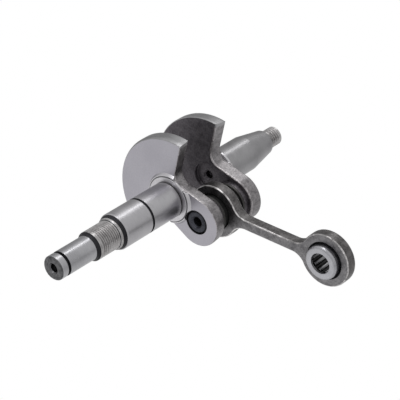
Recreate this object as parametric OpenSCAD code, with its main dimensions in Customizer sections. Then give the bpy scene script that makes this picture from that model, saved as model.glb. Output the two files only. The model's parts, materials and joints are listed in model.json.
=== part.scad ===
// Built-up crankshaft of a small two-stroke engine, with its connecting rod.
// X runs along the main shaft, from the clutch end to the flywheel end.
// Z is up. The origin is on the main axis, half way between the two webs.

/* [Crank] */
// Distance from the main axis to the crank pin axis (half of the stroke)
throw = 14.7; // [13:0.1:16]
// How far the throw dips below the horizontal in the pose shown
throw_dip = 23.7; // [0:0.1:60]
// Distance between the two web faces that look at each other
web_gap = 17.0; // [16.5:0.1:20]
// Thickness of each web
web_t = 5.5; // [4.5:0.1:7]
// Outer radius of the counterweights
counterweight_r = 25.5; // [24:0.1:27]
// Radius that the turned outer edge of a counterweight falls back to
counterweight_face_r = 24.8; // [23.5:0.1:25.2]
// Width of that turned edge, measured along the shaft
counterweight_edge_w = 2.0; // [0.5:0.1:2.5]
// Slope of the counterweight's two lower edges
flank_angle = 11.2; // [5:0.1:20]
// Half width of the web's waist, at the height of the main axis
waist_half_w = 8.3; // [7.9:0.1:9]
// Radius of the hollow corner between counterweight and waist
waist_fillet_r = 4.5; // [3:0.1:6]
// Radius of the web around the crank pin
pin_boss_r = 10.2; // [9.5:0.1:11]
// Radius and height of the thrust pad round the crank pin, inside each web
pad_r = 8.0; // [7:0.1:9]
pad_h = 1.9; // [1:0.1:2.2]
// Radius and depth of the turned recess on the main axis, inside each web
recess_r = 5.8; // [4:0.1:6]
recess_depth = 1.4; // [0.5:0.1:2]

/* [Main shaft] */
// Radius of both main journals
journal_r = 7.5; // [7:0.5:8.5]
// Radius and height of the bearing stop ring on each web
stop_r = 9.4; // [8.9:0.1:9.5]
stop_h = 1.3; // [0.8:0.05:1.35]
// Foot radius and height of the turned step outside the stop ring
step_r = 10.8; // [10.4:0.1:11.2]
step_h = 1.0; // [0.3:0.1:1.1]
// Radius of the grinding relief at the root of each journal
relief_r = 7.1; // [6.5:0.1:7.3]
// Radius of the centre holes in the two shaft ends and inside the webs
centre_hole_r = 1.7; // [1:0.1:2.2]
// Depth of those centre holes
centre_hole_depth = 4.0; // [2:0.5:6]

/* [Clutch side, distances from the crank's middle] */
// Where the bearing seat begins and ends
seat_start = 15.8; // [15.4:0.1:16.5]
seat_end = 31.6; // [28:0.1:34]
// Width and bottom radius of the groove after the bearing seat
seat_groove_w = 1.05; // [0.5:0.05:2]
seat_groove_r = 7.0; // [6.5:0.1:7.3]
// End of the seal land
seal_land_end = 46.5; // [42:0.1:50]
// Radius of the flat shoulder in front of the seal land
front_shoulder_r = 6.75; // [6.4:0.05:7]
// Start of the clutch thread, and its number of turns
clutch_thread_start = 49.6; // [48:0.1:55]
clutch_thread_turns = 10; // [6:1:14]
// Crest radius and pitch of the clutch thread
clutch_thread_r = 6.0; // [5:0.5:6]
clutch_thread_pitch = 1.0; // [0.75:0.25:1.25]
// Radius and end of the drum bearing's stub
stub_r = 5.0; // [4.5:0.5:5.5]
stub_end = 75.3; // [72:0.1:78]
// Width and bottom radius of the retaining clip's groove
clip_groove_w = 1.2; // [0.8:0.1:1.6]
clip_groove_r = 4.0; // [3.5:0.1:4.5]
// End of the shaft on the clutch side
clutch_end = 79.8; // [78:0.1:82]

/* [Flywheel side, distances from the crank's middle] */
// Where the journal ends and the flywheel taper begins
taper_start = 33.0; // [30:0.1:36]
// Where the taper ends, and its radius there
taper_end = 45.8; // [43:0.1:46.5]
taper_end_r = 5.25; // [4.5:0.05:6]
// Width, depth and length of the flywheel key's slot
key_w = 3.0; // [2:0.5:4]
key_depth = 1.4; // [1:0.1:2]
key_length = 8.0; // [6:0.5:10]
// Start and number of turns of the flywheel nut's thread
nut_thread_start = 47.2; // [46.8:0.1:48]
nut_thread_turns = 5; // [4:1:6]
// Crest radius and pitch of the flywheel nut's thread
nut_thread_r = 4.0; // [3:0.5:4]
nut_thread_pitch = 1.25; // [1:0.25:1.25]

/* [Crank pin and big end] */
// Radius of the crank pin
pin_r = 5.0; // [4.5:0.5:5.5]
// Interference of the pressed joints, on the radius
press = 0.01; // [0:0.005:0.02]
// Radius of the lightening bore through the crank pin
pin_bore_r = 2.0; // [1.5:0.1:2.5]
// Length of the crank pin
pin_length = 27.8; // [26:0.1:28]
// Radius, length and number of the big-end rollers
big_roller_r = 1.25; // [1:0.05:1.5]
big_roller_length = 5.0; // [4:0.1:9]
big_rollers = 11; // [9:1:12]
// Running clearance of the big-end rollers on each race
big_clearance = 0.04; // [0.02:0.01:0.08]
// Length of the big-end cage
big_cage_length = 10.9; // [9:0.1:11]
// Inner and outer radius of the big-end cage
big_cage_in_r = 5.25; // [5.1:0.05:5.5]
big_cage_out_r = 7.3; // [7:0.05:7.45]
// Thickness and outer radius of the thrust washers
washer_t = 1.0; // [0.8:0.1:1]
washer_r = 8.0; // [7:0.1:9]

/* [Connecting rod] */
// Distance between the rod's two bore axes
rod_length = 53.2; // [50:0.1:58]
// How far the rod dips below the horizontal in the pose shown
rod_dip = 1.5; // [-20:0.1:40]
// Thickness of the rod
rod_t = 4.8; // [4:0.1:6]
// How far the rod stands off the crank's middle, along its side play
rod_side = -1.0; // [-1.5:0.1:1.5]
// Outer radius of the big end
big_end_r = 11.2; // [10.5:0.1:12]
// Outer radius of the small end
small_end_r = 11.0; // [10:0.1:12]
// Half width of the shank
shank_half_w = 2.2; // [1.8:0.1:3.5]
// Radius of the hollows where the shank runs into the two ends
shank_fillet_r = 6.4; // [4:0.1:8]
// Size of the bevel round the cup's hole
cup_bevel = 0.8; // [0.3:0.1:1]

/* [Small-end needle bearing] */
// Outer radius and length of the drawn cup
cup_r = 7.0; // [6.5:0.1:7.5]
cup_length = 10.2; // [9:0.1:12]
// Thickness of the cup's lips
cup_lip_t = 0.9; // [0.6:0.1:1.2]
// Radius of the opening in the cup's lips
cup_mouth_r = 4.25; // [4.2:0.05:4.5]
// Rounding of the cup's two outer corners
cup_round = 1.2; // [0.5:0.1:1.5]
// Radius, length and number of the small-end rollers
small_roller_r = 1.0; // [0.8:0.05:1.1]
small_roller_length = 6.4; // [5:0.1:7]
small_rollers = 10; // [8:1:11]
// Radius of the free circle inside the small-end rollers
small_envelope_r = 4.05; // [4:0.01:4.1]
// Running clearance of the small-end rollers in the cup
small_clearance = 0.05; // [0.02:0.01:0.08]
// Inner and outer radius of the small-end cage
small_cage_in_r = 4.6; // [4.4:0.05:4.9]
small_cage_out_r = 5.85; // [5.5:0.05:6]

/* [Hidden] */
$fn = 96;
overlap = 1;
slip = 0.1;
// a hollow arc dips this far into the shapes it joins, so that they meet at an angle
blend = 0.04;
centre_cone = 0.7;
centre_hole_tip_r = 0.3;
edge_bevel = 0.3;
// the bevelled mouth of the hole for the crank pin
pin_mouth = 0.15;
// how far the wall of the turned step slopes out for each millimetre it falls
step_slope = 0.7;
web_in = web_gap / 2;
web_out = web_in + web_t;
pin_y = -throw * cos(throw_dip);
pin_z = -throw * sin(throw_dip);
// the waist's edge leans out until it runs into the pin boss
waist_touch_r = pin_boss_r - blend;
waist_lean = asin(waist_touch_r / norm([waist_half_w, throw])) - atan2(waist_half_w, throw);
waist_d = waist_half_w * cos(waist_lean);
big_pitch_r = pin_r + big_clearance + big_roller_r;
big_race_r = big_pitch_r + big_roller_r + big_clearance;
washer_in = web_in - pad_h - washer_t - slip / 2;
small_pitch_r = small_envelope_r + small_roller_r;
small_race_r = small_pitch_r + small_roller_r + small_clearance;
small_cage_length = cup_length - 2 * cup_lip_t - 2 * slip;
// a thread turn's depth and half its flat crest, as shares of the pitch
thread_depth = 0.6;
crest_share = 0.1;
undercut = 0.5;
// the stepped cone between the seal land and the clutch thread
shoulder_step = 0.5;
collar_h = 0.15;
clutch_thread_end = clutch_thread_start + clutch_thread_turns * clutch_thread_pitch;
// the bevel and cone between the clutch thread and the stub
tail_bevel = 0.5;
tail_cone = 1.7;
// the head outside the clip groove
head_slip = 0.05;
head_bevel = 0.6;
// the end of the taper's shoulder, short of the nut thread
nut_gap = 0.4;
nut_collar_h = 0.3;
nut_thread_end = nut_thread_start + nut_thread_turns * nut_thread_pitch;
nut_end_bevel = 0.7;
flywheel_end = nut_thread_end + nut_end_bevel;
forged = [0.36, 0.35, 0.36];
ground = [0.74, 0.74, 0.76];
phosphated = [0.30, 0.32, 0.29];
blued = [0.20, 0.21, 0.26];

function numbered(stem, count) = [for (i = [1:count]) str(stem, i)];

// ---- frames: local Z is the shaft's direction, local X is the throw or the rod ----

module crank_frame() {
    rotate([throw_dip - 90, 0, 0])
        rotate([0, 90, 0])
            children();
}

module rod_frame() {
    translate([0, pin_y, pin_z])
        rotate([rod_dip - 90, 0, 0])
            rotate([0, 90, 0])
                children();
}

module tube(r_out, r_in, length) {
    difference() {
        cylinder(r = r_out, h = length, center = true);
        cylinder(r = r_in, h = length + 2 * overlap, center = true);
    }
}

// ---- webs ----

// Corner between a waist edge and a counterweight's lower edge, filled out to a hollow arc.
// The patch is a kite from the arc's centre, a fifth bigger than the gap, so it reaches into both.
module waist_corner() {
    reach = 1.2 * waist_fillet_r;
    to_waist = [sin(waist_lean), -cos(waist_lean)];
    to_flank = [-cos(flank_angle), -sin(flank_angle)];
    spread = cos(waist_lean - flank_angle);
    out = ((waist_d + waist_fillet_r) * cos(flank_angle) + waist_fillet_r * sin(waist_lean)) / spread;
    back = ((waist_d + waist_fillet_r) * sin(flank_angle) - waist_fillet_r * cos(waist_lean)) / spread;
    translate([-back, out])
        difference() {
            polygon([
                [0, 0],
                reach * to_waist,
                reach * (to_waist + to_flank) / (1 + to_waist * to_flank),
                reach * to_flank,
            ]);
            circle(r = waist_fillet_r + blend);
        }
}

module counterweight_outline() {
    far = 2 * counterweight_r;
    intersection() {
        circle(r = counterweight_r);
        polygon([
            [0, 0],
            [-far * tan(flank_angle), far],
            [-far, far],
            [-far, -far],
            [-far * tan(flank_angle), -far],
        ]);
    }
}

module waist_outline() {
    touch_x = throw - waist_touch_r * sin(waist_lean);
    touch_y = waist_touch_r * cos(waist_lean);
    back_y = waist_half_w * (1 - tan(waist_lean));
    polygon([
        [-waist_half_w, back_y],
        [touch_x, touch_y],
        [touch_x, -touch_y],
        [-waist_half_w, -back_y],
    ]);
}

// The forging of one web, tall enough for the step on its outer face
module web_forging() {
    height = web_t + step_h;
    translate([0, 0, web_in]) {
        linear_extrude(height)
            counterweight_outline();
        linear_extrude(height)
            waist_outline();
        for (side = [0, 1])
            mirror([0, side, 0])
                linear_extrude(height)
                    waist_corner();
        translate([throw, 0, 0])
            cylinder(r = pin_boss_r, h = height);
    }
}

// The solid of revolution that a web's edge and outer face are turned down to
module turned_web() {
    rotate_extrude()
        polygon([
            [0, web_in],
            [counterweight_r - edge_bevel, web_in],
            [counterweight_r, web_in + edge_bevel],
            [counterweight_r, web_out - counterweight_edge_w],
            [counterweight_face_r, web_out],
            [step_r, web_out],
            [step_r - step_slope * step_h, web_out + step_h],
            [0, web_out + step_h],
        ]);
}

// The hole for the crank pin, with a bevelled mouth in the web's outer face
module pin_hole() {
    mouth_r = pin_r + pin_mouth;
    rotate_extrude()
        polygon([
            [0, 0],
            [pin_r - press, 0],
            [pin_r - press, web_out - 2 * pin_mouth],
            [mouth_r, web_out - pin_mouth],
            [mouth_r, 2 * web_out],
            [0, 2 * web_out],
        ]);
}

// One web, with the stop ring and the thrust pad, and all its holes
module web() {
    difference() {
        union() {
            intersection() {
                web_forging();
                turned_web();
            }
            translate([0, 0, web_out - slip])
                cylinder(r = stop_r, h = stop_h + slip);
            translate([throw, 0, web_in - pad_h])
                cylinder(r = pad_r, h = pad_h + overlap);
        }
        translate([throw, 0, 0])
            pin_hole();
        translate([0, 0, web_in - overlap])
            cylinder(r = recess_r, h = recess_depth + overlap);
        translate([0, 0, web_in])
            centre_hole();
    }
}

// ---- main shafts ----

// A centre-drilled hole that opens towards -Z at the height 0
module centre_hole() {
    cylinder(r = centre_hole_r, h = centre_hole_depth);
    translate([0, 0, centre_hole_depth])
        cylinder(r1 = centre_hole_r, r2 = centre_hole_tip_r, h = centre_hole_r);
    translate([0, 0, -overlap])
        cylinder(r1 = centre_hole_r + centre_cone, r2 = centre_hole_r, h = centre_cone + overlap);
}

// Radius and height of each corner of a run of ring-shaped thread turns: the flank of a turn
// falls from its crest to the groove's bottom half a pitch on, and climbs back
function thread_points(crest_r, pitch, start, turns) = [
    for (i = [0:turns - 1], step = [[0, 0], [crest_share, 0], [0.5, thread_depth], [1 - crest_share, 0]])
        [crest_r - step[1] * pitch, start + (i + step[0]) * pitch]
];

module clutch_side_shaft() {
    shoulder_end = clutch_thread_start - 2 * shoulder_step;
    undercut_start = clutch_thread_start - shoulder_step / 2;
    tail_bevel_start = clutch_thread_end + tail_bevel;
    head_r = stub_r - head_slip;
    rotate_extrude()
        polygon(concat(
            [
                [0, web_out],
                [relief_r, web_out],
                [relief_r, seat_start],
                [journal_r, seat_start],
                [journal_r, seat_end],
                [seat_groove_r, seat_end],
                [seat_groove_r, seat_end + seat_groove_w],
                [journal_r, seat_end + seat_groove_w],
                [journal_r, seal_land_end],
                [journal_r - edge_bevel, seal_land_end + edge_bevel],
                [front_shoulder_r, shoulder_end],
                [clutch_thread_r + collar_h, clutch_thread_start - shoulder_step],
                [clutch_thread_r + collar_h, undercut_start],
                [clutch_thread_r - undercut, undercut_start],
                [clutch_thread_r - undercut, clutch_thread_start],
            ],
            thread_points(clutch_thread_r, clutch_thread_pitch, clutch_thread_start, clutch_thread_turns),
            [
                [clutch_thread_r, clutch_thread_end],
                [clutch_thread_r, tail_bevel_start],
                [clutch_thread_r - tail_bevel, tail_bevel_start + tail_bevel],
                [stub_r, tail_bevel_start + tail_cone],
                [stub_r, stub_end],
                [clip_groove_r, stub_end],
                [clip_groove_r, stub_end + clip_groove_w],
                [head_r, stub_end + clip_groove_w],
                [head_r, clutch_end - head_bevel],
                [head_r - head_bevel, clutch_end],
                [0, clutch_end],
            ]
        ));
}

module flywheel_side_shaft() {
    undercut_start = nut_thread_start - nut_gap;
    rotate_extrude()
        polygon(concat(
            [
                [0, web_out],
                [relief_r, web_out],
                [relief_r, seat_start],
                [journal_r, seat_start],
                [journal_r, taper_start],
                [taper_end_r, taper_end],
                [nut_thread_r + nut_collar_h, undercut_start],
                [nut_thread_r - undercut, undercut_start],
                [nut_thread_r - undercut, nut_thread_start],
            ],
            thread_points(nut_thread_r, nut_thread_pitch, nut_thread_start, nut_thread_turns),
            [
                [nut_thread_r, nut_thread_end],
                [nut_thread_r - nut_end_bevel, flywheel_end],
                [0, flywheel_end],
            ]
        ));
}

// The slot of the flywheel's key, on the counterweight's side of the taper
module key_slot() {
    middle = (taper_start + taper_end) / 2;
    depth_x = -(journal_r + taper_end_r) / 2 + key_depth;
    for (end = [-1, 1])
        translate([depth_x, 0, middle + end * (key_length - key_w) / 2])
            rotate([0, -90, 0])
                cylinder(d = key_w, h = journal_r);
    translate([depth_x - journal_r, -key_w / 2, middle - (key_length - key_w) / 2])
        cube([journal_r, key_w, key_length - key_w]);
}

module clutch_side_half() {
    color(forged)
        crank_frame()
            mirror([0, 0, 1])
                difference() {
                    union() {
                        web();
                        clutch_side_shaft();
                    }
                    translate([0, 0, clutch_end])
                        mirror([0, 0, 1])
                            centre_hole();
                }
}

module flywheel_side_half() {
    color(forged)
        crank_frame()
            difference() {
                union() {
                    web();
                    flywheel_side_shaft();
                }
                translate([0, 0, flywheel_end])
                    mirror([0, 0, 1])
                        centre_hole();
                key_slot();
            }
}

// ---- crank pin and big end ----

module crank_pin() {
    bevel = 0.8;
    mouth = 0.6;
    color(blued)
        crank_frame()
            translate([throw, 0, 0])
                difference() {
                    rotate_extrude()
                        polygon([
                            [0, -pin_length / 2],
                            [pin_r - bevel, -pin_length / 2],
                            [pin_r, bevel - pin_length / 2],
                            [pin_r, pin_length / 2 - bevel],
                            [pin_r - bevel, pin_length / 2],
                            [0, pin_length / 2],
                        ]);
                    cylinder(r = pin_bore_r, h = 2 * pin_length, center = true);
                    for (end = [0, 1])
                        mirror([0, 0, end])
                            translate([0, 0, pin_length / 2 - mouth])
                                cylinder(r1 = pin_bore_r, r2 = pin_bore_r + overlap, h = overlap);
                }
}

module thrust_washer(side) {
    color(phosphated)
        crank_frame()
            translate([throw, 0, side * (washer_in + washer_t / 2)])
                tube(washer_r, pin_r + slip, washer_t);
}

// A ring with one window for each roller
module needle_cage(out_r, in_r, length, count, roller_r, roller_length) {
    window_w = 2 * (roller_r + slip);
    difference() {
        tube(out_r, in_r, length);
        for (i = [0:count - 1])
            rotate(i * 360 / count)
                translate([in_r - overlap, -window_w / 2, -roller_length / 2 - slip])
                    cube([out_r - in_r + 2 * overlap, window_w, roller_length + 2 * slip]);
    }
}

// Roller number i of a ring of needle rollers, with its two ends rounded off
module needle_roller(i, count, pitch_r, roller_r, roller_length) {
    end_bevel = roller_r / 5;
    rotate((i - 1) * 360 / count)
        translate([pitch_r, 0, 0])
            rotate_extrude()
                polygon([
                    [0, -roller_length / 2],
                    [roller_r - end_bevel, -roller_length / 2],
                    [roller_r, end_bevel - roller_length / 2],
                    [roller_r, roller_length / 2 - end_bevel],
                    [roller_r - end_bevel, roller_length / 2],
                    [0, roller_length / 2],
                ]);
}

module big_end_cage() {
    color(phosphated)
        rod_frame()
            needle_cage(big_cage_out_r, big_cage_in_r, big_cage_length, big_rollers,
                big_roller_r, big_roller_length);
}

module big_end_roller(i) {
    color(ground)
        rod_frame()
            needle_roller(i, big_rollers, big_pitch_r, big_roller_r, big_roller_length);
}

// ---- connecting rod ----

// One flat slice of the rod, centred on its thickness
module rod_plate() {
    linear_extrude(rod_t, center = true)
        children();
}

// An end of radius end_r at the origin, running into a shank along +X through two hollow arcs
module rod_end(end_r) {
    cy = shank_half_w + shank_fillet_r;
    cx = sqrt(pow(end_r + shank_fillet_r, 2) - pow(cy, 2));
    touch = end_r / (end_r + shank_fillet_r);
    cylinder(r = end_r, h = rod_t, center = true);
    rod_plate()
        difference() {
            polygon([
                [0, 0],
                [cx * touch, cy * touch],
                [cx, cy],
                [cx, -cy],
                [cx * touch, -cy * touch],
            ]);
            for (side = [-1, 1])
                translate([cx, side * cy])
                    circle(r = shank_fillet_r + blend);
        }
}

module rod_blank() {
    rod_end(big_end_r);
    translate([rod_length, 0, 0])
        mirror([1, 0, 0])
            rod_end(small_end_r);
    rod_plate()
        translate([0, -shank_half_w])
            square([rod_length, 2 * shank_half_w]);
}

module connecting_rod() {
    color(forged)
        rod_frame()
            translate([0, 0, rod_side])
                difference() {
                    rod_blank();
                    cylinder(r = big_race_r, h = 2 * rod_t, center = true);
                    translate([rod_length, 0, 0])
                        cylinder(r = cup_r - press, h = 2 * rod_t, center = true);
                    for (face = [0, 1])
                        mirror([0, 0, face])
                            translate([rod_length, 0, rod_t / 2 - cup_bevel])
                                cylinder(r1 = cup_r - press, r2 = cup_r + 2 * cup_bevel, h = 2 * cup_bevel);
                }
}

// ---- small-end needle bearing ----

module small_end_frame() {
    rod_frame()
        translate([rod_length, 0, rod_side])
            children();
}

module cup_section() {
    half = cup_length / 2;
    difference() {
        union() {
            translate([cup_mouth_r, -half])
                square([cup_r - cup_round - cup_mouth_r, cup_length]);
            translate([cup_mouth_r, cup_round - half])
                square([cup_r - cup_mouth_r, cup_length - 2 * cup_round]);
            for (end = [-1, 1])
                translate([cup_r - cup_round, end * (half - cup_round)])
                    circle(r = cup_round);
        }
        translate([0, cup_lip_t - half])
            square([small_race_r, cup_length - 2 * cup_lip_t]);
    }
}

module small_end_cup() {
    color(ground)
        small_end_frame()
            rotate_extrude()
                cup_section();
}

module small_end_cage() {
    color(phosphated)
        small_end_frame()
            needle_cage(small_cage_out_r, small_cage_in_r, small_cage_length, small_rollers,
                small_roller_r, small_roller_length);
}

module small_end_roller(i) {
    color(ground)
        small_end_frame()
            needle_roller(i, small_rollers, small_pitch_r, small_roller_r, small_roller_length);
}

clutch_side_half();
flywheel_side_half();
crank_pin();
connecting_rod();
thrust_washer(-1);  // clutch_side_thrust_washer
thrust_washer(1);  // flywheel_side_thrust_washer
big_end_cage();
for (i = [1:big_rollers])
    big_end_roller(i);
small_end_cup();
small_end_cage();
for (i = [1:small_rollers])
    small_end_roller(i);
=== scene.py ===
import json
import math

import bmesh
import bpy
import numpy as np
from mathutils import Matrix, Vector


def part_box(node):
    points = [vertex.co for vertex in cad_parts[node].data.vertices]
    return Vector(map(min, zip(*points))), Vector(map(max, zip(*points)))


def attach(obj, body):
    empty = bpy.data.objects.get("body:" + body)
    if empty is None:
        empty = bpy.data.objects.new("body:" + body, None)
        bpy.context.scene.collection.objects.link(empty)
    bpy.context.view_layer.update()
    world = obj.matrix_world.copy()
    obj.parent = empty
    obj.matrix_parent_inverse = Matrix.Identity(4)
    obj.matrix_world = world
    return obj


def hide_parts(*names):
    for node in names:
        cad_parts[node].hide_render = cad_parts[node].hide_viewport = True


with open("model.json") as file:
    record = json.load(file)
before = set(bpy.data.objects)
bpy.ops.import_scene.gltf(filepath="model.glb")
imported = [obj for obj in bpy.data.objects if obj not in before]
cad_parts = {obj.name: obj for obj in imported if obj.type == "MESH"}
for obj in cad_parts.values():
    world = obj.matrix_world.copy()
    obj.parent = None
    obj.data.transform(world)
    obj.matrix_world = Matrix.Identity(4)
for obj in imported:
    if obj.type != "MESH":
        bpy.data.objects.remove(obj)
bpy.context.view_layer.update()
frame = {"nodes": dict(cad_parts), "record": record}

# Sizes are in millimetres. A part is built in its own local frame, where Z runs along its axis,
# and is then carried into the row's frame, in metres.
MM = 0.001
# Segments round a turned solid, and rings in one turn of a thread
SEGMENTS = 144
PER_TURN = 14
# Edges that turn by more than this are drawn sharp
SHARP = math.radians(33)
# A rounding takes at most this share of each edge beside its corner
MOST_OF_EDGE = 0.45

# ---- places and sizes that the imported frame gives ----


def centre_of(node):
    """The middle of a node's box, in millimetres."""
    low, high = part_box(node)
    return (low + high) / (2 * MM)


def size_of(node):
    """The sizes of a node's box, in millimetres."""
    low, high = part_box(node)
    return (high - low) / MM


mounts = {m["name"]: m for m in frame["record"]["mounts"]}
pin_centre = centre_of("crank_pin")
cup_centre = centre_of("small_end_cup")
throw_dir = Vector((0, pin_centre.y, pin_centre.z)).normalized()
throw = math.hypot(pin_centre.y, pin_centre.z)
rod_dir = Vector((0, cup_centre.y - pin_centre.y, cup_centre.z - pin_centre.z))
rod_length = rod_dir.length
rod_dir.normalize()
rod_x = centre_of("connecting_rod").x
clutch_end = -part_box("clutch_side_half")[0].x / MM
flywheel_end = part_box("flywheel_side_half")[1].x / MM
pin_length = size_of("crank_pin").x
rod_t = size_of("connecting_rod").x
big_cage_length = size_of("big_end_cage").x
cup_length = size_of("small_end_cup").x
small_cage_length = size_of("small_end_cage").x
washer_t = size_of("clutch_side_thrust_washer").x
washer_r = size_of("clutch_side_thrust_washer").z / 2
big_roller_length = size_of("big_end_roller_1").x
small_roller_length = size_of("small_end_roller_1").x
journal_r = mounts["clutch_side_bearing_seat"]["dims"]["r_mm"]
stub_r = mounts["drum_bearing_stub"]["dims"]["r_mm"]
mouth_r = mounts["wrist_pin_bore"]["dims"]["r_mm"]


def span_of(mount):
    """Where a mount's wall begins and ends, as distances from the crank's middle."""
    middle = abs(mounts[mount]["pos_m"][0]) / MM
    half = mounts[mount]["dims"]["length_mm"] / 2
    return middle - half, middle + half


seat_start, seat_end = span_of("clutch_side_bearing_seat")
land_start, land_end = span_of("clutch_side_seal_land")
stub_start, stub_end = span_of("drum_bearing_stub")
taper_start = span_of("flywheel_side_bearing_seat")[1]

# ---- design sizes the frame does not state, as in the part's source ----

WEB_IN, WEB_OUT = 8.5, 14.0
COUNTERWEIGHT_R = 25.5
FLANK = math.radians(11.2)
WAIST_HALF_W, WAIST_FILLET_R = 8.3, 4.5
BOSS_R = 10.2
PAD_R, PAD_H = 8.0, 1.9
STOP_R, STOP_H = 9.4, 1.3
STEP_R, STEP_H, STEP_TOP_R = 10.8, 1.0, 10.1
RELIEF_R = 7.1
RECESS_R, RECESS_DEPTH = 5.8, 1.4
CENTRE_HOLE_R, CENTRE_TIP_R, CENTRE_HOLE_DEPTH, CENTRE_CONE = 1.7, 0.3, 4.0, 0.7
TAPER_END, TAPER_END_R = 45.8, 5.25
KEY_HALF_L, KEY_HALF_W, KEY_DEPTH = 2.5, 1.5, 1.4
PIN_R, PIN_BORE_R = 5.0, 2.0
BIG_END_R, SMALL_END_R = 11.2, 11.0
SHANK_HALF_W, SHANK_FILLET_R = 2.2, 6.4
BIG_RACE_R, CUP_R, SMALL_RACE_R = 7.58, 7.0, 6.1
CUP_LIP_T, CUP_ROUND = 0.9, 1.2
BIG_CAGE_R, BIG_CAGE_BORE_R, BIG_ROLLER_R, BIG_ROLLERS = 7.3, 5.25, 1.25, 11
SMALL_CAGE_R, SMALL_CAGE_BORE_R, SMALL_ROLLER_R, SMALL_ROLLERS = 5.85, 4.6, 1.0, 10

# ---- local frames ----


def local_frame(x_dir, origin=(0, 0, 0), flip=1):
    """Local Z is the row's X, times flip, local X is x_dir, and Y follows from both."""
    z_dir = Vector((1, 0, 0))
    y_dir = z_dir.cross(x_dir)
    matrix = Matrix((x_dir, y_dir, z_dir * flip)).transposed().to_4x4()
    return Matrix.Translation(Vector(origin) * MM) @ matrix @ Matrix.Scale(MM, 4)


FLYWHEEL_FRAME = local_frame(throw_dir)
CLUTCH_FRAME = local_frame(throw_dir, flip=-1)
PIN_FRAME = local_frame(throw_dir, (0, pin_centre.y, pin_centre.z))
ROD_FRAME = local_frame(rod_dir, (rod_x, pin_centre.y, pin_centre.z))
BIG_END_FRAME = local_frame(rod_dir, (0, pin_centre.y, pin_centre.z))
SMALL_END_FRAME = local_frame(rod_dir, cup_centre)

# ---- mesh building ----


def cleaned(mesh):
    """Welds a mesh's coincident points and cuts its many-sided faces into triangles."""
    bm = bmesh.new()
    bm.from_mesh(mesh)
    bmesh.ops.remove_doubles(bm, verts=bm.verts, dist=1e-5)
    many = [f for f in bm.faces if len(f.verts) > 4]
    bmesh.ops.triangulate(bm, faces=many, ngon_method="BEAUTY")
    bmesh.ops.recalc_face_normals(bm, faces=bm.faces)
    bm.to_mesh(mesh)
    bm.free()


def solid(points, faces):
    """A closed mesh object in local millimetres."""
    mesh = bpy.data.meshes.new("work")
    mesh.from_pydata([tuple(map(float, p)) for p in points], [], faces)
    cleaned(mesh)
    made = bpy.data.objects.new("work", mesh)
    bpy.context.scene.collection.objects.link(made)
    return made


def combine(base, tool, operation):
    """Joins tool to base, or cuts it out of it, and removes tool."""
    step = base.modifiers.new("combine", "BOOLEAN")
    step.operation, step.object, step.solver = operation, tool, "EXACT"
    bpy.context.view_layer.update()
    graph = bpy.context.evaluated_depsgraph_get()
    mesh = bpy.data.meshes.new_from_object(base.evaluated_get(graph))
    cleaned(mesh)
    base.modifiers.clear()
    base.data = mesh
    bpy.data.objects.remove(tool)
    return base


def rounded(corners, steps=4):
    """A run of (z, r) or (z, r, rounding) corners, with an arc in place of each rounded one."""
    run = []
    for i, corner in enumerate(corners):
        here = np.array(corner[:2], float)
        size = corner[2] if len(corner) > 2 else 0
        if not size or i in (0, len(corners) - 1):
            run.append(tuple(here))
            continue
        before = np.array(corners[i - 1][:2], float) - here
        after = np.array(corners[i + 1][:2], float) - here
        reach = min(size, MOST_OF_EDGE * np.linalg.norm(before), MOST_OF_EDGE * np.linalg.norm(after))
        a = here + before / np.linalg.norm(before) * reach
        b = here + after / np.linalg.norm(after) * reach
        for t in np.linspace(0, 1, steps + 1):
            run.append(tuple((1 - t) ** 2 * a + 2 * t * (1 - t) * here + t * t * b))
    return run


def turned(rings, segments=SEGMENTS, loop=False):
    """A solid turned about local Z from (z, r) rings. A ring's r may be one value for each segment."""
    angles = np.arange(segments) * 2 * math.pi / segments
    points, rows = [], []
    for z, r in rings:
        if np.isscalar(r) and r == 0:
            rows.append([len(points)])
            points.append((0, 0, z))
            continue
        rows.append(list(range(len(points), len(points) + segments)))
        radii = np.broadcast_to(r, segments)
        points += [(q * math.cos(a), q * math.sin(a), z) for q, a in zip(radii, angles)]
    faces = []
    for low, high in zip(rows, rows[1:] + ([rows[0]] if loop else [])):
        for i in range(segments):
            j = (i + 1) % segments
            if len(low) == 1:
                faces.append((low[0], high[j], high[i]))
            elif len(high) == 1:
                faces.append((low[i], low[j], high[0]))
            else:
                faces.append((low[i], low[j], high[j], high[i]))
    return solid(points, faces)


def thread(start, turns, pitch, crest_r, depth, hand=1):
    """Rings of one helical thread, whose groove runs out over the first and last turn."""
    crest, flank = 1.3, 3.2
    run_in, run_out = 0.6, 0.8
    angles = np.arange(SEGMENTS) / SEGMENTS
    rings = []
    for k in range(turns * PER_TURN + 1):
        along = k / PER_TURN
        phase = (along - hand * angles) % 1
        cut = np.clip(crest - flank * np.abs(phase - 0.5), 0, 1)
        share = min(1, along / run_in, (turns - along) / run_out)
        rings.append((start + along * pitch, crest_r - depth * cut * max(0, share)))
    return rings


def arc(centre, radius, start, end, count):
    """Points of an arc and the directions from its centre, as two lists of 2-D vectors."""
    turn = np.linspace(start, end, count)
    out = np.stack([np.cos(turn), np.sin(turn)], 1)
    return np.array(centre) + radius * out, out


def stacked(outlines, heights):
    """A closed solid through outlines with equal numbers of points, one at each height along Z."""
    count = len(outlines[0])
    points = [(x, y, z) for outline, z in zip(outlines, heights) for x, y in outline]
    faces = [tuple(range(count - 1, -1, -1))]
    for low in range(0, len(points) - count, count):
        high = low + count
        for i in range(count):
            j = (i + 1) % count
            faces.append((low + i, low + j, high + j, high + i))
    faces.append(tuple(range(len(points) - count, len(points))))
    return solid(points, faces)


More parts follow.
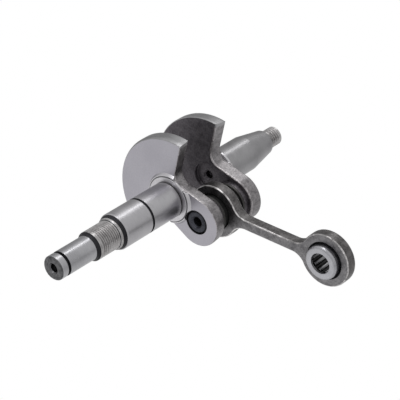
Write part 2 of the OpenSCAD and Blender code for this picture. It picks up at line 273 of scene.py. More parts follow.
def finish_piece(made, node, matrix, body, finishes, choose=None):
    """Carries a solid into the row's frame, shades it, gives it its finishes and makes it ride.

    choose gives a face's finish from its centre and its normal, both in the local frame.
    """
    mesh = made.data
    mesh.name = made.name = node + "_finished"
    for finish in finishes:
        mesh.materials.append(finish)
    index_of = {finish.name: i for i, finish in enumerate(finishes)}
    for face in mesh.polygons:
        face.use_smooth = True
        face.material_index = index_of[choose(face.center, face.normal).name] if choose else 0
    mesh.transform(matrix)
    if matrix.determinant() < 0:
        mesh.flip_normals()
    bm = bmesh.new()
    bm.from_mesh(mesh)
    for edge in bm.edges:
        if len(edge.link_faces) == 2 and edge.calc_face_angle(0) > SHARP:
            edge.smooth = False
    bm.to_mesh(mesh)
    bm.free()
    even = made.modifiers.new("even", "WEIGHTED_NORMAL")
    even.keep_sharp = True
    even.weight = 100
    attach(made, body)
    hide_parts(node)
    return made


# ---- finishes ----


def add(tree, kind, **inputs):
    """A new shader node with its settings and input values."""
    made = tree.nodes.new("ShaderNode" + kind)
    for key, value in inputs.items():
        if hasattr(made, key):
            setattr(made, key, value)
        else:
            made.inputs[key.replace("_", " ")].default_value = value
    return made


def ramp_of(tree, source, stops):
    """A colour ramp on source, with (position, colour) stops."""
    made = tree.nodes.new("ShaderNodeValToRGB")
    elements = made.color_ramp.elements
    stops = list(stops)
    while len(elements) < len(stops):
        elements.new(0.5)
    for element, (position, colour) in zip(elements, stops):
        element.position = position
        element.color = (*colour, 1)
    tree.links.new(source, made.inputs["Fac"])
    return made.outputs["Color"]


def mapped(tree, source, span, result, **settings):
    """A node that maps source from one (low, high) span to another."""
    made = add(tree, "MapRange", **settings)
    made.inputs["From Min"].default_value, made.inputs["From Max"].default_value = span
    made.inputs["To Min"].default_value, made.inputs["To Max"].default_value = result
    tree.links.new(source, made.inputs["Value"])
    return made


# Noise values at which a finish is darkest and lightest, and smoothest and roughest
COLOUR_SPAN = (0.40, 0.60)
ROUGH_SPAN = (0.3, 0.7)
TOOL_LINE_SCALE = 900


def steel(name, dark, light, rough, metallic=1.0, grain=1500, stretch=(1, 1, 1),
          bump=0.2, depth=0.00002, blotch=160, lines=0.0):
    """One steel finish: fine grain over broad blotches, and ring-shaped tool lines if any.

    rough is (low, high). stretch draws the grain out along an axis. lines is the tool lines'
    share of the relief, whose height in metres is depth.
    """
    made = bpy.data.materials.new(name)
    made.use_nodes = True
    tree = made.node_tree
    link = tree.links.new
    shader = tree.nodes["Principled BSDF"]
    shader.inputs["Metallic"].default_value = metallic
    place = add(tree, "TexCoord").outputs["Object"]
    drawn = add(tree, "Mapping", Scale=stretch)
    link(place, drawn.inputs["Vector"])
    fine = add(tree, "TexNoise", Scale=grain, Detail=6.0, Roughness=0.62)
    link(drawn.outputs["Vector"], fine.inputs["Vector"])
    broad = add(tree, "TexNoise", Scale=blotch, Detail=4.0, Roughness=0.55)
    link(place, broad.inputs["Vector"])
    both = add(tree, "Math", operation="MULTIPLY_ADD")
    both.inputs[1].default_value = 0.5
    link(fine.outputs["Fac"], both.inputs[0])
    half = add(tree, "Math", operation="MULTIPLY")
    half.inputs[1].default_value = 0.5
    link(broad.outputs["Fac"], half.inputs[0])
    link(half.outputs["Value"], both.inputs[2])
    colour = ramp_of(tree, both.outputs["Value"], zip(COLOUR_SPAN, (dark, light)))
    link(colour, shader.inputs["Base Color"])
    spread = mapped(tree, both.outputs["Value"], ROUGH_SPAN, rough)
    link(spread.outputs["Result"], shader.inputs["Roughness"])
    height = fine.outputs["Fac"]
    if lines:
        wave = add(tree, "TexWave", Scale=TOOL_LINE_SCALE, Distortion=1.5, Detail=2.0, Detail_Scale=3.0)
        wave.wave_type = "RINGS"
        wave.rings_direction = "X"
        link(place, wave.inputs["Vector"])
        mixed = add(tree, "Mix", data_type="FLOAT")
        mixed.inputs[0].default_value = lines
        link(fine.outputs["Fac"], mixed.inputs[2])
        link(wave.outputs["Fac"], mixed.inputs[3])
        height = mixed.outputs[0]
    relief = add(tree, "Bump", Strength=bump, Distance=depth)
    link(height, relief.inputs["Height"])
    link(relief.outputs["Normal"], shader.inputs["Normal"])
    return made


# The grain runs round the shaft: close along the row's X, drawn out across it
AROUND = (9, 0.6, 0.6)
GROUND = steel("ground_journal", (0.37, 0.365, 0.38), (0.46, 0.455, 0.47), (0.29, 0.38),
               grain=900, stretch=AROUND, bump=0.12, blotch=90)
STUB = steel("ground_stub", (0.34, 0.34, 0.355), (0.43, 0.43, 0.445), (0.26, 0.36),
             grain=900, stretch=AROUND, bump=0.15, blotch=110)
TAPER = steel("ground_taper", (0.25, 0.247, 0.255), (0.33, 0.327, 0.335), (0.28, 0.38),
              grain=900, stretch=AROUND, bump=0.15, blotch=110)
THREAD = steel("rolled_thread", (0.30, 0.29, 0.29), (0.52, 0.51, 0.51), (0.26, 0.38),
               grain=1800, bump=0.2)
# Near-black painted shade for grooves, undercuts, bores and the gaps round the pin and the cup, where shade
# falls
SHADE_BLACK = steel("painted_shade_black", (0.010, 0.010, 0.012), (0.026, 0.026, 0.03), (0.40, 0.60), metallic=0.7,
              grain=1800, bump=0.3)
# Darker than the ground journal: painted shade in the relief at the shaft's root, the groove beside the stop
# ring and the big end's bore
RELIEF = steel("turned_relief_and_painted_shade", (0.16, 0.16, 0.165), (0.25, 0.25, 0.255), (0.30, 0.42),
               grain=900, stretch=AROUND, bump=0.2)
END = steel("sawn_end", (0.06, 0.06, 0.063), (0.17, 0.17, 0.175), (0.38, 0.60), metallic=0.9,
            grain=900, bump=0.5, depth=0.00008, blotch=500)
DRILLED = steel("drilled_hole", (0.10, 0.10, 0.105), (0.20, 0.20, 0.205), (0.25, 0.38),
                grain=1200, bump=0.3)
FACE = steel("turned_face", (0.36, 0.35, 0.385), (0.42, 0.41, 0.445), (0.34, 0.42),
             grain=1500, bump=0.12, lines=0.6, blotch=60)
RING = steel("turned_ring", (0.48, 0.47, 0.49), (0.58, 0.57, 0.59), (0.26, 0.36),
             grain=1500, stretch=AROUND, bump=0.1, blotch=120)
RIM = steel("turned_rim", (0.27, 0.268, 0.276), (0.37, 0.368, 0.376), (0.28, 0.40),
            grain=1000, stretch=AROUND, bump=0.2, blotch=80)
FORGED = steel("forged_side", (0.15, 0.143, 0.148), (0.29, 0.278, 0.284), (0.30, 0.44),
               grain=1700, bump=0.6, depth=0.00008, blotch=420)
# Lighter forged edges: worn, and with a painted highlight along the webs' rounded edges
WORN_EDGE_HIGHLIGHT = steel("worn_forged_edge_and_highlight", (0.19, 0.18, 0.184), (0.50, 0.475, 0.484), (0.28, 0.42),
             grain=1700, bump=0.5, depth=0.00008, blotch=420)
INNER = steel("forged_inner_face", (0.07, 0.064, 0.072), (0.145, 0.134, 0.146), (0.40, 0.56), metallic=0.9,
              grain=1300, bump=0.4, depth=0.00006, blotch=330)
PIN = steel("blued_pin", (0.022, 0.023, 0.030), (0.065, 0.067, 0.08), (0.35, 0.50), metallic=0.9,
            grain=1500, bump=0.3, blotch=400)
ROD = steel("blasted_rod_face", (0.11, 0.107, 0.112), (0.24, 0.234, 0.24), (0.32, 0.46),
            grain=1600, bump=0.4, depth=0.00006, blotch=260)
ROD_SIDE = steel("forged_rod_side", (0.065, 0.062, 0.062), (0.17, 0.163, 0.163), (0.34, 0.50),
                 grain=1200, bump=0.5, depth=0.00008, blotch=260)
# Much lighter than the rod: worn, and painted highlight lines along the rod's bevelled edges
ROD_EDGE_HIGHLIGHT = steel("worn_rod_edge_and_highlight", (0.20, 0.195, 0.195), (0.72, 0.70, 0.70), (0.25, 0.40),
                 grain=700, bump=0.3, blotch=180)
CUP = steel("drawn_cup", (0.33, 0.33, 0.35), (0.42, 0.42, 0.44), (0.22, 0.34),
            grain=1500, bump=0.1, blotch=200)
CAGE = steel("phosphated_cage", (0.014, 0.014, 0.014), (0.036, 0.036, 0.036), (0.45, 0.60), metallic=0.7,
             grain=2600, bump=0.3)
WASHER = steel("phosphated_washer", (0.04, 0.039, 0.038), (0.085, 0.083, 0.08), (0.42, 0.60), metallic=0.8,
               grain=2000, bump=0.3)
ROLLER = steel("lapped_roller", (0.13, 0.13, 0.135), (0.22, 0.22, 0.225), (0.20, 0.30),
               grain=2500, bump=0.05, stretch=AROUND)

# ---- crank halves ----


def web_outline():
    """Points round a web in its local plane, and two inset directions for each.

    The first is that of the turned rim and the second that of the forged edge, and
    each is zero where the web has no such edge.
    """
    lean = math.asin(BOSS_R / math.hypot(WAIST_HALF_W, throw)) - math.atan2(WAIST_HALF_W, throw)
    waist_out = np.array([-math.sin(lean), math.cos(lean)])
    flank_out = np.array([math.cos(FLANK), math.sin(FLANK)])
    waist_d = WAIST_HALF_W * math.cos(lean)
    centre = np.linalg.solve([waist_out, flank_out], [waist_d + WAIST_FILLET_R, WAIST_FILLET_R])
    foot_flank = centre - WAIST_FILLET_R * flank_out
    foot_waist = centre - WAIST_FILLET_R * waist_out
    corner = COUNTERWEIGHT_R * np.array([-math.sin(FLANK), math.cos(FLANK)])
    touch = np.array([throw, 0]) + BOSS_R * waist_out
    quarter = math.pi / 2
    boss, boss_out = arc((throw, 0), BOSS_R, 0, quarter + lean, count=40)
    hollow_start = math.atan2(*(-waist_out)[::-1])
    hollow_end = math.atan2(*(-flank_out)[::-1])
    hollow, hollow_in = arc(centre, WAIST_FILLET_R, hollow_start, hollow_end, count=14)
    rim, rim_out = arc((0, 0), COUNTERWEIGHT_R, quarter + FLANK, math.pi, count=64)
    steps = np.linspace(0, 1, 9)[1:-1, None]
    waist = touch + steps * (foot_waist - touch)
    flank = foot_flank + steps * (corner - foot_flank)
    zero = np.zeros(2)
    half = [(p, zero, n) for p, n in zip(boss, boss_out)]
    half += [(p, zero, waist_out) for p in waist]
    half += [(p, zero, -n) for p, n in zip(hollow, hollow_in)]
    half += [(p, zero, flank_out) for p in flank]
    half += [(rim[0], rim_out[0], flank_out)]
    # The rim's points next to the corner are left out, because their insets would cross the flank's
    half += [(p, n, zero) for p, n in zip(rim[3:], rim_out[3:])]
    flip = np.array([1, -1])
    other = [(p * flip, t * flip, f * flip) for p, t, f in half[-2:0:-1]]
    points, turned_out, forged_out = (np.array(x) for x in zip(*(half + other)))
    return points, turned_out, forged_out


# How far a web's edge stands in from its outline, from its inner face to its outer one
WEB_LEVELS = (
    # height above the inner face, inset of the turned rim, inset of the forged edge
    (0.00, 0.36, 1.30), (0.05, 0.20, 1.00), (0.16, 0.07, 0.76), (0.35, 0.01, 0.58),
    (0.65, 0.00, 0.44), (1.60, 0.00, 0.30), (3.00, 0.00, 0.17), (3.70, 0.02, 0.10),
    (4.20, 0.08, 0.06), (4.60, 0.18, 0.03), (4.95, 0.33, 0.03), (5.25, 0.50, 0.07),
    (5.42, 0.62, 0.14), (5.50, 0.76, 0.24), (6.20, 0.90, 0.24), (6.42, 0.94, 0.34),
    (6.55, 0.96, 0.50),
)
# Room for the pin in its bore, and the width of the bevel round the bore's mouth
PIN_ROOM, PIN_MOUTH = 0.02, 0.15


def web():
    """A web, faced on its outer side, with the pad and the pin's bore at its throw end."""
    points, turned_out, forged_out = web_outline()
    outlines = [points - (turned_out * t + forged_out * f) for _, t, f in WEB_LEVELS]
    made = stacked(outlines, [WEB_IN + h for h, _, _ in WEB_LEVELS])
    facing = turned(rounded([
        (WEB_OUT, STEP_R, 0.2), (WEB_OUT, 40), (WEB_OUT + 4, 40), (WEB_OUT + 4, STOP_R - 0.4),
        (WEB_OUT + 0.75, STOP_R - 0.4), (WEB_OUT + 0.75, STOP_R + 0.15),
        (WEB_OUT + STEP_H, STOP_R + 0.35, 0.06),
        (WEB_OUT + STEP_H, STEP_TOP_R, 0.12), (WEB_OUT + 0.12, STEP_R - 0.1, 0.1),
    ]), loop=True)
    combine(made, facing, "DIFFERENCE")
    pad = turned(rounded([
        (WEB_IN + 1, 0), (WEB_IN + 1, PAD_R), (WEB_IN - PAD_H, PAD_R, 0.4), (WEB_IN - PAD_H, 0),
    ]))
    pad.data.transform(Matrix.Translation((throw, 0, 0)))
    combine(made, pad, "UNION")
    hole = turned([(WEB_IN - 5, 0), (WEB_IN - 5, PIN_R + PIN_ROOM), (WEB_OUT - 0.3, PIN_R + PIN_ROOM),
                   (WEB_OUT - 0.12, PIN_R + PIN_MOUTH), (WEB_OUT + 4, PIN_R + PIN_MOUTH), (WEB_OUT + 4, 0)])
    hole.data.transform(Matrix.Translation((throw, 0, 0)))
    combine(made, hole, "DIFFERENCE")
    return made


def half(shaft):
    """A web and its shaft in one, with the recess and centre hole cut in the web's inner face."""
    made = combine(web(), shaft, "UNION")
    recess = turned(rounded([
        (WEB_IN - 2, 0), (WEB_IN - 2, RECESS_R + 2.2), (WEB_IN, RECESS_R + 0.2),
        (WEB_IN + 0.2, RECESS_R), (WEB_IN + RECESS_DEPTH, RECESS_R - 0.2, 0.3),
        (WEB_IN + RECESS_DEPTH, CENTRE_HOLE_R + CENTRE_CONE, 0.1),
        (WEB_IN + RECESS_DEPTH + CENTRE_CONE, CENTRE_HOLE_R), (WEB_IN + CENTRE_HOLE_DEPTH, CENTRE_HOLE_R),
        (WEB_IN + 4.9, CENTRE_TIP_R), (WEB_IN + 4.9, 0),
    ]))
    return combine(made, recess, "DIFFERENCE")


def root_of_shaft():
    """Corners that both shafts share: stop ring, relief at the journal's root, and the journal's start."""
    return [
        (WEB_OUT - 1, 0), (WEB_OUT - 1, 7.8), (WEB_OUT - 0.1, 8.1), (WEB_OUT + 0.35, STOP_R, 0.1),
        (WEB_OUT + STOP_H, STOP_R, 0.16), (WEB_OUT + STOP_H, RELIEF_R + 0.35, 0.12),
        (WEB_OUT + STOP_H - 0.25, RELIEF_R, 0.1), (seat_start - 0.1, RELIEF_R, 0.1),
        (seat_start, journal_r - 0.12), (seat_start + 0.15, journal_r),
    ]


def centre_hole(face, cone, tip):
    """Corners of the centre hole in a shaft's end face, from the foot of its cone to the drill's tip."""
    return [
        (face - cone, CENTRE_HOLE_R), (face - CENTRE_HOLE_DEPTH, CENTRE_HOLE_R),
        (face - tip, CENTRE_TIP_R), (face - tip, 0),
    ]


GROOVE_R = 7.0
CLUTCH_THREAD = {"start": 49.6, "turns": 10, "pitch": 1.0, "crest_r": 6.0, "depth": 0.6, "hand": -1}
NUT_THREAD = {"start": 47.2, "turns": 5, "pitch": 1.25, "crest_r": 4.0, "depth": 0.72}
THREAD_END = CLUTCH_THREAD["start"] + CLUTCH_THREAD["turns"] * CLUTCH_THREAD["pitch"]
NUT_END = NUT_THREAD["start"] + NUT_THREAD["turns"] * NUT_THREAD["pitch"]
CLIP_W, CLIP_R = 1.2, 4.0
# The clutch thread's shoulder, its collar and the undercuts before and behind the turns
SHOULDER_R, COLLAR_R, UNDERCUT_R = 6.7, 6.14, 5.5
NUT_COLLAR_R, NUT_UNDERCUT_R = 4.3, 3.4


def clutch_shaft():
    """The clutch side's shaft: bearing seat, groove, seal land, thread, stub and clip groove."""
    front, crest_r = CLUTCH_THREAD["start"], CLUTCH_THREAD["crest_r"]
    rings = rounded(root_of_shaft() + [
        (seat_end, journal_r, 0.12), (seat_end, GROOVE_R, 0.2), (land_start, GROOVE_R, 0.2),
        (land_start, journal_r, 0.12), (land_end, journal_r, 0.15), (land_end + 0.35, journal_r - 0.35),
        (front - 1.3, SHOULDER_R, 0.2), (front - 1.1, SHOULDER_R - 0.4, 0.1),
        (front - 0.62, COLLAR_R, 0.1), (front - 0.3, COLLAR_R, 0.08),
        (front - 0.25, UNDERCUT_R, 0.1), (front - 0.03, UNDERCUT_R, 0.1), (front, crest_r - 0.01),
    ])
    rings += thread(**CLUTCH_THREAD)
    rings += rounded([
        (THREAD_END + 0.02, crest_r), (THREAD_END + 0.5, crest_r, 0.12), (THREAD_END + 1.0, UNDERCUT_R, 0.2),
        (stub_start, stub_r, 0.3), (stub_end - 0.05, stub_r, 0.06), (stub_end, CLIP_R, 0.12),
        (stub_end + CLIP_W, CLIP_R, 0.12), (stub_end + CLIP_W + 0.05, stub_r - 0.05, 0.06),
        (clutch_end - 0.6, stub_r - 0.05, 0.25), (clutch_end, stub_r - 0.66, 0.2),
        (clutch_end, CENTRE_HOLE_R + 0.65, 0.15),
    ] + centre_hole(clutch_end, CENTRE_CONE, 5.2))
    return turned(rings)


def flywheel_shaft():
    """The flywheel side's shaft: bearing seat, taper and nut thread."""
    front, crest_r = NUT_THREAD["start"], NUT_THREAD["crest_r"]
    rings = rounded(root_of_shaft() + [
        (taper_start, journal_r, 0.1), (TAPER_END, TAPER_END_R, 0.35), (front - 0.4, NUT_COLLAR_R, 0.1),
        (front - 0.35, NUT_UNDERCUT_R, 0.1), (front - 0.03, NUT_UNDERCUT_R, 0.1), (front, crest_r - 0.01),
    ])
    rings += thread(**NUT_THREAD)
    rings += rounded([
        (NUT_END + 0.02, crest_r), (NUT_END + 0.1, crest_r - 0.05), (flywheel_end, crest_r - 0.7, 0.12),
        (flywheel_end, CENTRE_HOLE_R + 0.6, 0.15),
    ] + centre_hole(flywheel_end, 1.0, 5.0))
    return turned(rings)


def key_cutter():
    """The key slot's round-ended cutter, on the counterweight's side of the taper."""
    middle = (taper_start + TAPER_END) / 2
    quarter = math.pi / 2
    top, _ = arc((KEY_HALF_L, 0), KEY_HALF_W, -quarter, quarter, count=16)
    low, _ = arc((-KEY_HALF_L, 0), KEY_HALF_W, quarter, 3 * quarter, count=16)
    outline = np.concatenate([top, low])
    cutter = stacked([outline, outline], [0, 8])
    bottom = (journal_r + TAPER_END_R) / 2 - KEY_DEPTH
    cutter.data.transform(Matrix.Translation((-bottom, 0, middle)) @ Matrix.Rotation(-quarter, 4, "Y"))
    return cutter


HALF_FINISHES = [
    FORGED, FACE, RIM, GROUND, SHADE_BLACK, THREAD, STUB, END, INNER, WORN_EDGE_HIGHLIGHT, RING, RELIEF, DRILLED, TAPER,
]
# Faces of a web that are farther out than this are on its rim
RIM_R = 24.4
# Faces nearer the axis than about this are in a centre hole
CENTRE_MOUTH_R = 2.5
# The shaft's root ends here and its bearing seat begins
ROOT_END = seat_start - 0.08


def web_finish(c, n, outer_edge):
    """The finish of a web's face with centre c and normal n. outer_edge is that of its outer edge."""
    r = math.hypot(c.x, c.y)
    # In the pin's bore the finish is near-black painted shade; at its mouth on the outer face it is the
    # bright ring
    if math.hypot(c.x - throw, c.y) < PIN_R + PIN_MOUTH + 0.02:
        return SHADE_BLACK if c.z < WEB_OUT - 0.02 else RING
    if r < CENTRE_MOUTH_R + 0.1 and WEB_IN < c.z < WEB_IN + 6 and abs(n.z) < 0.5:
        return DRILLED
    if r > RIM_R and c.x < -COUNTERWEIGHT_R * math.sin(FLANK) + 0.3 and c.z > WEB_IN:
        return RIM
    # The groove beside the stop ring takes the darker relief finish: painted shade
    if STOP_R + 0.05 < r < STOP_R + 0.42 and c.z > WEB_OUT + 0.5:
        return RELIEF
    if r < STEP_R + 0.1 and c.z > WEB_OUT + 0.05 and n.z > 0.3:
        return RING
    if c.z > WEB_OUT - 0.3 and n.z > 0.93:
        return FACE
    if c.z > WEB_OUT - 0.6 and 0.2 < n.z < 0.93:
        return outer_edge
    # The rounded edge of the inner face: worn, with a painted highlight from its lighter finish
    if WEB_IN - 0.01 < c.z < WEB_IN + 0.6 and -0.93 < n.z < -0.2 and r > RECESS_R + 0.4:
        return WORN_EDGE_HIGHLIGHT
    return INNER if n.z < -0.5 or c.z < WEB_IN or r < RECESS_R + 0.4 else FORGED


def on_web(c):
    """Whether a face belongs to the web and its stepped ring, and not to the shaft."""
    return c.z < WEB_OUT + 0.005 or math.hypot(c.x, c.y) > STOP_R + 0.05


def root_finish(c):
    """The finish at the shaft's root: a bright stop ring, and inside it the relief in a darker finish that
    paints shade.
    """
    return RING if math.hypot(c.x, c.y) > RELIEF_R + 0.3 else RELIEF


THREAD_FRONT = CLUTCH_THREAD["start"]
# Where each finish of the clutch side's shaft ends, from the web outwards
# The grooves and undercuts between these bands are near-black painted shade
CLUTCH_BANDS = (
    (seat_end - 0.06, GROUND), (land_start + 0.06, SHADE_BLACK), (land_end + 0.3, GROUND),
    (THREAD_FRONT - 1.2, SHADE_BLACK), (THREAD_FRONT - 0.55, THREAD), (THREAD_FRONT - 0.32, STUB),
    (THREAD_FRONT - 0.001, SHADE_BLACK), (THREAD_END + 0.55, THREAD), (stub_start - 0.15, SHADE_BLACK),
    (stub_end - 0.06, STUB), (stub_end + CLIP_W + 0.06, SHADE_BLACK), (clutch_end - 0.5, STUB),
)


def clutch_finish(c, n):
    """The finish of a face of the clutch-side half."""
    if on_web(c):
        return web_finish(c, n, WORN_EDGE_HIGHLIGHT)
    if c.z < ROOT_END:
        return root_finish(c)
    r = math.hypot(c.x, c.y)
    for end, finish in CLUTCH_BANDS:
        if c.z < end and r > CENTRE_MOUTH_R + 0.1:
            return finish
    return END if r > CENTRE_MOUTH_R else DRILLED


def flywheel_finish(c, n):
    """The finish of a face of the flywheel-side half."""
    if on_web(c):
        return web_finish(c, n, FORGED)
    if c.z < ROOT_END:
        return root_finish(c)
    if c.z < NUT_THREAD["start"] - 0.42:
        return TAPER
    # The nut thread's undercut is near-black painted shade
    if c.z < NUT_THREAD["start"]:
        return SHADE_BLACK
    if c.z < NUT_END + 0.2:
        return THREAD
    return END if math.hypot(c.x, c.y) > CENTRE_MOUTH_R - 0.3 else DRILLED


finish_piece(half(clutch_shaft()), "clutch_side_half", CLUTCH_FRAME, "crank",
             HALF_FINISHES, clutch_finish)
flywheel_half = combine(half(flywheel_shaft()), key_cutter(), "DIFFERENCE")
finish_piece(flywheel_half, "flywheel_side_half", FLYWHEEL_FRAME, "crank",
             HALF_FINISHES, flywheel_finish)

# ---- crank pin, washers, big-end bearing ----

half_pin = pin_length / 2
PIN_BEVEL_R, PIN_BEVEL_L = 0.85, 0.75
PIN_BORE_BEVEL = 0.6
pin = turned(rounded([
    (-half_pin, PIN_BORE_R + PIN_BORE_BEVEL, 0.1), (-half_pin, PIN_R - PIN_BEVEL_R, 0.15),
    (-half_pin + PIN_BEVEL_L, PIN_R, 0.15), (half_pin - PIN_BEVEL_L, PIN_R, 0.15),
    (half_pin, PIN_R - PIN_BEVEL_R, 0.15), (half_pin, PIN_BORE_R + PIN_BORE_BEVEL, 0.1),
    (half_pin - PIN_BORE_BEVEL, PIN_BORE_R), (-half_pin + PIN_BORE_BEVEL, PIN_BORE_R),
]), loop=True)


def pin_finish(c, n):
    """Near-black painted shade in the bore and round the ends, blued on the ends and ground where the
    rollers run.
    """
    r = math.hypot(c.x, c.y)
    in_bore = r < PIN_BORE_R + 0.15
    on_bevel = r > PIN_R - 0.75 and abs(c.z) > half_pin - 0.9
    if in_bore or on_bevel:
        return SHADE_BLACK
    return PIN if abs(c.z) > WEB_IN else GROUND


finish_piece(pin, "crank_pin", PIN_FRAME, "crank", [PIN, SHADE_BLACK, GROUND], pin_finish)


def ring(out_r, in_r, length, edge=0.15):
    """A ring about local Z with four bevelled edges."""
    h = length / 2
    return turned(rounded([
        (-h, in_r + edge), (-h, out_r - edge), (-h + edge, out_r), (h - edge, out_r), (h, out_r - edge),
        (h, in_r + edge), (h - edge, in_r), (-h + edge, in_r),
    ]), loop=True)


for side in ("clutch_side", "flywheel_side"):
    node = side + "_thrust_washer"
    place = local_frame(throw_dir, centre_of(node))
    washer = ring(washer_r, PIN_R + 0.1, washer_t)
    finish_piece(washer, node, place, side + "_washer", [WASHER])

BOX_FACES = ((0, 1, 2, 3), (7, 6, 5, 4), (0, 4, 5, 1), (1, 5, 6, 2), (2, 6, 7, 3), (3, 7, 4, 0))
POCKET_ROOM = 0.1


def cage(out_r, in_r, length, count, roller_r, roller_length):
    """A ring with a pocket for each roller."""
    made = ring(out_r, in_r, length, 0.12)
    half_w, half_l = roller_r + POCKET_ROOM, roller_length / 2 + POCKET_ROOM
    points, faces = [], []
    for i in range(count):
        turn = Matrix.Rotation(i * 2 * math.pi / count, 3, "Z")
        base = len(points)
        for x in (in_r - 1, out_r + 1):
            for y, z in ((-half_w, -half_l), (half_w, -half_l), (half_w, half_l), (-half_w, half_l)):
                points.append(turn @ Vector((x, y, z)))
        faces += [tuple(base + k for k in face) for face in BOX_FACES]
    return combine(made, solid(points, faces), "DIFFERENCE")


def roller(radius, length):
    """A needle roller with domed ends."""
    h, dome = length / 2, radius * 0.22
    return turned(rounded([(-h, 0), (-h, radius - dome, 0.15), (-h + dome, radius, 0.15),
                           (h - dome, radius, 0.15), (h, radius - dome, 0.15), (h, 0)]), segments=40)


big_cage = cage(BIG_CAGE_R, BIG_CAGE_BORE_R, big_cage_length, BIG_ROLLERS, BIG_ROLLER_R, big_roller_length)
finish_piece(big_cage, "big_end_cage", BIG_END_FRAME, "big_cage", [CAGE])
small_cage = cage(SMALL_CAGE_R, SMALL_CAGE_BORE_R, small_cage_length, SMALL_ROLLERS, SMALL_ROLLER_R,
                  small_roller_length)
finish_piece(small_cage, "small_end_cage", SMALL_END_FRAME, "small_cage", [CAGE])
for node in sorted(frame["nodes"]):
    if "_roller_" in node:
        size = size_of(node)
        place = local_frame(rod_dir, centre_of(node))
        body = node.replace("_end_", "_")
        finish_piece(roller(size.z / 2, size.x), node, place, body, [ROLLER])

# ---- connecting rod ----


def rod_outline():
    """Points round the rod in its local plane, and their outward directions."""
    parts = []
    for end_r, flip, move in ((BIG_END_R, 1, 0), (SMALL_END_R, -1, rod_length)):
        cy = SHANK_HALF_W + SHANK_FILLET_R
        cx = math.sqrt((end_r + SHANK_FILLET_R) ** 2 - cy ** 2)
        lean = math.atan2(cy, cx)
        hollow, hollow_in = arc((cx, cy), SHANK_FILLET_R, -math.pi / 2, -math.pi + lean, count=16)
        end, end_out = arc((0, 0), end_r, lean, math.pi, count=56)
        run = [(p, -n) for p, n in zip(hollow, hollow_in)] + [(p, n) for p, n in zip(end[1:], end_out[1:])]
        run = run + [(p * (1, -1), n * (1, -1)) for p, n in run[-2::-1]]
        parts += [(np.array([move + flip * p[0], flip * p[1]]), n * flip) for p, n in run]
    points, normals = (np.array(x) for x in zip(*parts))
    return points, normals


# Heights above the rod's face, and how far its edge stands in from its outline at each
ROD_LEVELS = ((0.0, 0.50), (0.10, 0.34), (0.24, 0.18), (0.42, 0.07), (0.70, 0.02), (1.2, 0.0))


def bevelled_cutter(r, half_h, bevel, flare):
    """A cutter for a bore through a plate. It widens by flare beyond each mouth, and so bevels it."""
    return turned([(-half_h - 1, 0), (-half_h - 1, r + flare), (-half_h + bevel, r), (half_h - bevel, r),
                   (half_h + 1, r + flare), (half_h + 1, 0)])


def connecting_rod():
    """The rod's forging with the bores of both ends."""
    points, normals = rod_outline()
    half_t = rod_t / 2
    levels = [(h - half_t, inset) for h, inset in ROD_LEVELS]
    levels += [(-z, inset) for z, inset in levels[::-1]]
    made = stacked([points - normals * inset for _, inset in levels], [z for z, _ in levels])
    combine(made, bevelled_cutter(BIG_RACE_R, half_t, 0.2, 1.2), "DIFFERENCE")
    cup_hole = bevelled_cutter(CUP_R, half_t, 0.8, 1.8)
    cup_hole.data.transform(Matrix.Translation((rod_length, 0, 0)))
    combine(made, cup_hole, "DIFFERENCE")
    return made


def rod_finish(c, n):
    """Near-black painted shade round the cup, the darker relief finish as painted shade in the big end, and
    worn bright with a painted highlight along the edges between face and side.
    """
    if math.hypot(c.x - rod_length, c.y) < CUP_R + 0.78:
        return SHADE_BLACK
    if math.hypot(c.x, c.y) < BIG_RACE_R + 0.32:
        return RELIEF
    if abs(n.z) > 0.94:
        return ROD
    return ROD_EDGE_HIGHLIGHT if abs(n.z) > 0.3 else ROD_SIDE


finish_piece(connecting_rod(), "connecting_rod", ROD_FRAME, "rod",
             [ROD, SHADE_BLACK, RELIEF, ROD_SIDE, ROD_EDGE_HIGHLIGHT], rod_finish)

half_cup = cup_length / 2
race_end = half_cup - CUP_LIP_T
cup = turned(rounded([
    (-half_cup, mouth_r, 0.25), (-half_cup, CUP_R, CUP_ROUND),
    (half_cup, CUP_R, CUP_ROUND), (half_cup, mouth_r, 0.25),
    (race_end, mouth_r, 0.1), (race_end, SMALL_RACE_R, 0.2),
    (-race_end, SMALL_RACE_R, 0.2), (-race_end, mouth_r, 0.1),
], steps=7), loop=True)


def cup_finish(c, n):
    """Near-black painted shade on the race inside, and bright elsewhere."""
    inside = math.hypot(c.x, c.y) < SMALL_RACE_R + 0.05 and abs(c.z) < race_end + 0.05
    return SHADE_BLACK if inside else CUP


finish_piece(cup, "small_end_cup", SMALL_END_FRAME, "rod", [CUP, SHADE_BLACK], cup_finish)

# ---- camera, floor and light ----

scene = bpy.context.scene
scene.view_settings.view_transform = "Standard"

camera = bpy.data.objects.new("camera", bpy.data.cameras.new("camera"))
scene.collection.objects.link(camera)
scene.camera = camera
AIM = Vector((-0.54, -4.21, -5.29)) * MM
AZIMUTH, ELEVATION, DISTANCE = math.radians(-50.75), math.radians(30.24), 634.1 * MM
SENSOR_WIDTH, FOCAL_LENGTH = 36, 143.973
# The floor's radius in metres, and how far it lies below the rod's lowest reach, in millimetres
FLOOR_R, FLOOR_GAP = 0.3, 2
back = Vector((math.sin(AZIMUTH) * math.cos(ELEVATION), -math.cos(AZIMUTH) * math.cos(ELEVATION),
               math.sin(ELEVATION)))
camera.location = AIM + back * DISTANCE
camera.rotation_mode = "QUATERNION"
camera.rotation_quaternion = (-back).to_track_quat("-Z", "Y")
camera.data.sensor_width = SENSOR_WIDTH
camera.data.lens = FOCAL_LENGTH
camera.data.clip_start, camera.data.clip_end = 0.01, 20

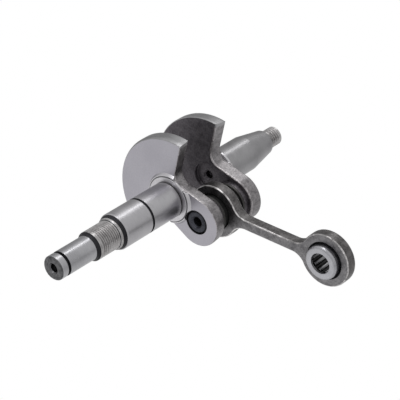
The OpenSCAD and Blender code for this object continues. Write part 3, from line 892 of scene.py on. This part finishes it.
floor_z = (pin_centre.z - rod_length - SMALL_END_R - FLOOR_GAP) * MM
bpy.ops.mesh.primitive_circle_add(vertices=96, radius=FLOOR_R, fill_type="NGON", location=(0, 0, floor_z))
floor = bpy.context.object
floor.name = "floor"
paper = bpy.data.materials.new("pale_floor")
paper.use_nodes = True
paint = paper.node_tree.nodes["Principled BSDF"].inputs
paint["Base Color"].default_value = (0, 0, 0, 1)
paint["Specular IOR Level"].default_value = 0
paint["Roughness"].default_value = 1.0
paint["Emission Color"].default_value = (1, 1, 1, 1)
paint["Emission Strength"].default_value = 1.0
floor.data.materials.append(paper)
floor.visible_glossy = floor.visible_diffuse = floor.visible_shadow = False


def softbox(name, direction, distance, width, height, brightness):
    """A rectangular area light whose face has the given brightness."""
    lamp = bpy.data.lights.new(name, "AREA")
    lamp.shape, lamp.size, lamp.size_y = "RECTANGLE", width, height
    lamp.energy = brightness * math.pi * width * height
    made = bpy.data.objects.new(name, lamp)
    scene.collection.objects.link(made)
    towards = Vector(direction).normalized()
    made.location = towards * distance
    made.rotation_mode = "QUATERNION"
    made.rotation_quaternion = (-towards).to_track_quat("-Z", "Y")
    return made


softbox("strip_softbox", (0, 0.21, 0.98), distance=0.9, width=2.4, height=0.19, brightness=3.0)

# The studio's walls: height from -1 to 1, and the brightness there
WALLS = ((-1.0, 0.80), (-0.55, 0.80), (-0.2, 0.60), (0.15, 0.72), (0.5, 0.80), (1.0, 0.85))
# A corner's effect begins at the first cosine from its direction, and is full at the second
CORNER_SPAN = (0.80, 0.97)
CORNERS = (
    # direction, and what it multiplies the walls' brightness by: dim at the back right, bright low left
    (Vector((0.55, 0.80, 0.15)).normalized(), 0.55),
    (Vector((-0.69, 0.50, -0.52)).normalized(), 1.32),
)

world = bpy.data.worlds.new("studio")
scene.world = world
world.use_nodes = True
sky = world.node_tree
background = sky.nodes["Background"]
where = add(sky, "TexCoord").outputs["Generated"]
split = add(sky, "SeparateXYZ")
sky.links.new(where, split.inputs["Vector"])
height = mapped(sky, split.outputs["Z"], (-1, 1), (0, 1))
shade = ramp_of(sky, height.outputs["Result"], [((z + 1) / 2, (e,) * 3) for z, e in WALLS])
for direction, share in CORNERS:
    corner = add(sky, "VectorMath", operation="DOT_PRODUCT")
    corner.inputs[1].default_value = direction
    sky.links.new(where, corner.inputs[0])
    fade = mapped(sky, corner.outputs["Value"], CORNER_SPAN, (1, share), interpolation_type="SMOOTHSTEP")
    walls = add(sky, "VectorMath", operation="SCALE")
    sky.links.new(shade, walls.inputs[0])
    sky.links.new(fade.outputs["Result"], walls.inputs["Scale"])
    shade = walls.outputs["Vector"]
# What is seen past the floor is white, as the floor is
seen = add(sky, "LightPath").outputs["Is Camera Ray"]
paper_white = add(sky, "Mix", data_type="RGBA")
sky.links.new(seen, paper_white.inputs[0])
sky.links.new(shade, paper_white.inputs[6])
paper_white.inputs[7].default_value = (1, 1, 1, 1)
sky.links.new(paper_white.outputs[2], background.inputs["Color"])
background.inputs["Strength"].default_value = 1.0
